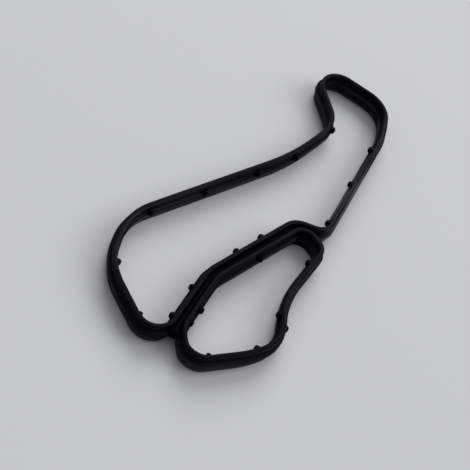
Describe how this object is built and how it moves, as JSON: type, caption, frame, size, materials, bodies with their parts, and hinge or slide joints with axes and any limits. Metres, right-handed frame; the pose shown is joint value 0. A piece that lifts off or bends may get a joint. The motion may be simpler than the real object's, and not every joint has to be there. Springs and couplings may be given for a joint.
{
  "type": "profile gasket",
  "caption": "Moulded rubber profile gasket: a beaded wall on edge round a hooked loop and a pear-shaped loop that share one side.",
  "frame": {"origin": "middle of the outline's box, on the plane under the foot bead", "axes": "+X along the length towards the hook, +Y towards the hooked loop's broad back, +Z from the foot bead to the crest bead"},
  "size_m": [0.1414, 0.06, 0.0075],
  "materials": {
    "rubber": "moulded, semi-matt"
  },
  "bodies": {
    "root": {"gasket": "rubber"}
  },
  "joints": []
}
